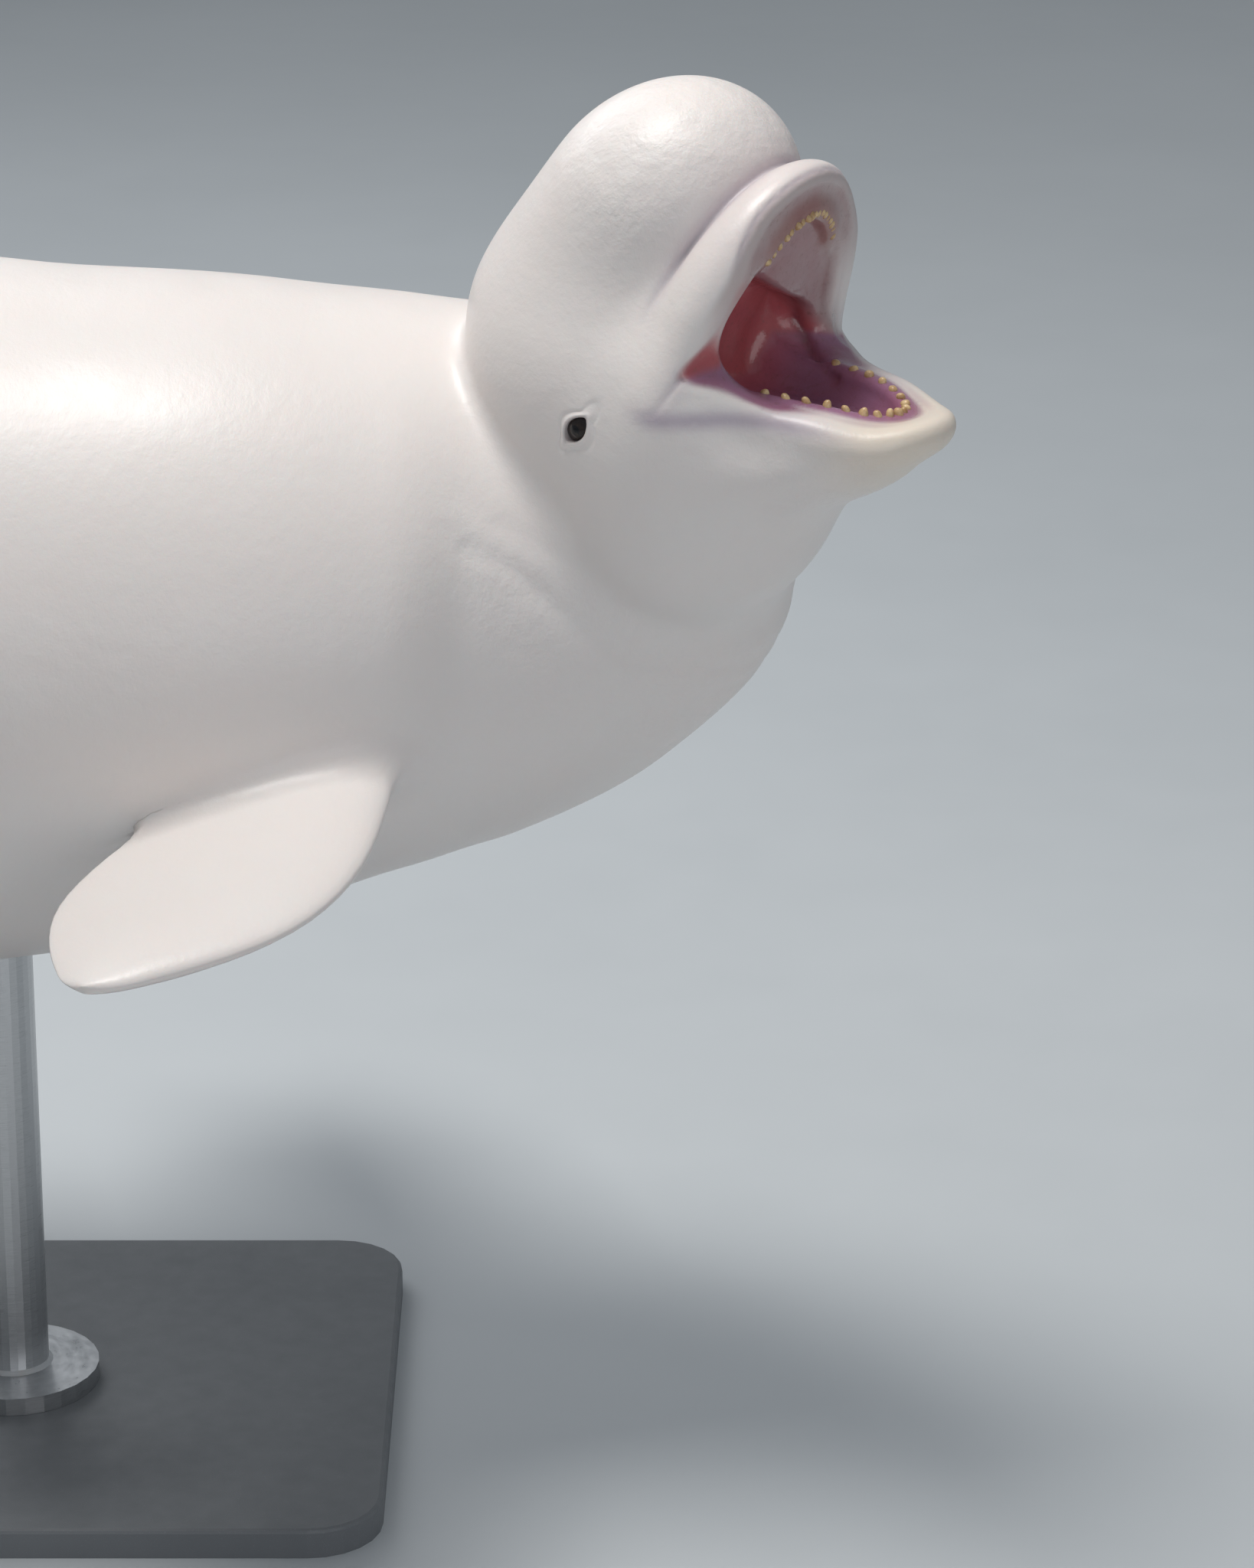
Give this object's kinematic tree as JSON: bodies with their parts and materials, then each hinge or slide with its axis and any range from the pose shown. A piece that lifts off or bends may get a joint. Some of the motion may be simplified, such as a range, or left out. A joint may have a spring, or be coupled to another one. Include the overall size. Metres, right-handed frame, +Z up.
{
  "type": "beluga whale display model",
  "caption": "Life-size still model of a white whale, head raised and turned with its mouth wide open, carried by two short rods on a flat base.",
  "frame": {"origin": "centre of the base's underside, on the floor", "axes": "+X forward along the trunk towards the head, +Y to the whale's left, +Z up"},
  "size_m": [3.6535, 1.2278, 1.384],
  "materials": {
    "skin": "smooth damp skin, off-white with a faint pink and grey cast",
    "mouth_lining": "wet, mauve pink, with cream teeth",
    "tongue_flesh": "wet, greyish pink",
    "eye_black": "wet and glossy, near black",
    "stand_steel": "satin",
    "stand_paint": "fine matt paint"
  },
  "bodies": {
    "root": {"head": "skin", "lower_jaw": "skin", "neck": "skin", "torso": "skin", "tail_stock": "skin", "fluke_L": "skin", "fluke_R": "skin", "flipper_L": "skin", "flipper_R": "skin", "upper_gum": "mouth_lining", "lower_gum": "mouth_lining", "tongue": "tongue_flesh", "eye_L": "eye_black", "eye_R": "eye_black", "stand_base": "stand_paint", "stand_rod_front": "stand_steel", "stand_rod_rear": "stand_steel"}
  },
  "joints": []
}
